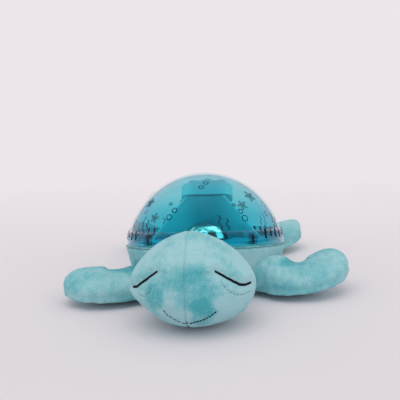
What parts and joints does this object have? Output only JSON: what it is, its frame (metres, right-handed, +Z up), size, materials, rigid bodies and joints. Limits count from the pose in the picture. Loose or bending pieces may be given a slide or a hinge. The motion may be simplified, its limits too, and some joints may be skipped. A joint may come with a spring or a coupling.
{
  "type": "plush turtle night light projector",
  "caption": "Plush sleeping turtle with a clear tinted shell that covers a motor-turned faceted lens, lamps, push keys, speaker and battery bay.",
  "frame": {"origin": "centre of the flat foot, on the surface that the toy stands on", "axes": "+Z up, the turtle faces -Y, its left side is +X"},
  "size_m": [0.2772, 0.2937, 0.1082],
  "materials": {
    "plush": "short brushed pile, pale sea green",
    "plush_trim": "woven trim",
    "clear_shell": "clear tinted plastic with a faint rainbow sheen",
    "clear_cap": "clear plastic",
    "crystal": "cut clear plastic",
    "deck": "satin moulded plastic",
    "tower": "satin moulded plastic",
    "key": "soft matt moulding",
    "housing": "white moulded plastic, fine texture",
    "gear": "natural acetal",
    "steel": "plated steel",
    "motor": "drawn steel can",
    "board": "green circuit board",
    "chip": "moulded black",
    "led": "clear epoxy",
    "paper": "black paper cone",
    "cell": "plain printed sleeve, no text",
    "contact": "nickel plate"
  },
  "bodies": {
    "body": {"base_tub": "housing", "plush_body": "plush", "belly_binding": "plush_trim", "rim_piping": "plush_trim", "tail": "plush", "dome_shell": "clear_shell", "shell_screws": "steel", "control_tower": "tower", "keypad_board": "board", "tact_switches": "chip", "deck_plate": "deck", "deck_screws": "steel", "clear_cap": "clear_cap", "optics_frame": "housing", "frame_screws": "steel", "retaining_clip": "steel", "gear_motor": "motor", "motor_screws": "steel", "led_board": "board", "led_board_screws": "steel", "projector_leds": "led", "battery_cells": "cell", "contact_plates": "contact", "contact_springs": "contact", "speaker_frame": "motor", "speaker_cone": "paper", "main_board": "board", "board_screws": "steel", "board_chips": "chip"},
    "volume_button": {"volume_key": "key"},
    "power_button": {"power_key": "key"},
    "sound_button": {"sound_key": "key"},
    "turntable": {"lens_carrier": "gear", "facet_lens": "crystal"},
    "pinion": {"drive_pinion": "gear", "motor_shaft": "steel"},
    "door": {"battery_door": "housing", "door_screw": "steel"},
    "head": {"head": "plush"},
    "front_left": {"front_left_flipper": "plush"},
    "front_right": {"front_right_flipper": "plush"},
    "rear_left": {"rear_left_flipper": "plush"},
    "rear_right": {"rear_right_flipper": "plush"}
  },
  "joints": [
    {"name": "volume_press", "type": "slide", "parent": "body", "child": "volume_button", "axis": [0, -0.6293, -0.7771], "range_m": [0, 0.0012], "stiffness_N_per_m": 700},
    {"name": "power_press", "type": "slide", "parent": "body", "child": "power_button", "axis": [0, -0.6293, -0.7771], "range_m": [0, 0.0012], "stiffness_N_per_m": 700},
    {"name": "sound_press", "type": "slide", "parent": "body", "child": "sound_button", "axis": [0, -0.6293, -0.7771], "range_m": [0, 0.0012], "stiffness_N_per_m": 700},
    {"name": "lens_spin", "type": "hinge", "parent": "body", "child": "turntable", "pos_m": [0, 0, 0.04], "axis": [0, 0.1908, 0.9816], "continuous": true},
    {"name": "pinion_spin", "type": "hinge", "parent": "body", "child": "pinion", "pos_m": [-0.03, 0, 0.04], "axis": [0, 0.1908, 0.9816], "continuous": true},
    {"name": "door_swing", "type": "hinge", "parent": "body", "child": "door", "pos_m": [0, 0.046, 0.0013], "axis": [1, 0, 0], "range_deg": [0, 100]},
    {"name": "head_nod", "type": "hinge", "parent": "body", "child": "head", "pos_m": [0.002, -0.09676, 0.032], "axis": [-1, 0, 0], "range_deg": [-6, 14]},
    {"name": "front_left_lift", "type": "hinge", "parent": "body", "child": "front_left", "pos_m": [0.07473, -0.04315, 0.0125], "axis": [-0.5, -0.866, 0], "range_deg": [-12, 30]},
    {"name": "front_right_lift", "type": "hinge", "parent": "body", "child": "front_right", "pos_m": [-0.068, -0.05313, 0.0125], "axis": [-0.6157, 0.788, 0], "range_deg": [-12, 30]},
    {"name": "rear_left_lift", "type": "hinge", "parent": "body", "child": "rear_left", "pos_m": [0.05072, 0.06982, 0.0125], "axis": [0.809, -0.5878, 0], "range_deg": [-12, 30]},
    {"name": "rear_right_lift", "type": "hinge", "parent": "body", "child": "rear_right", "pos_m": [-0.05072, 0.06982, 0.0125], "axis": [0.809, 0.5878, 0], "range_deg": [-12, 30]}
  ],
  "couplings": [
    {"joint": "pinion_spin", "follows": "lens_spin", "ratio": -4}
  ]
}
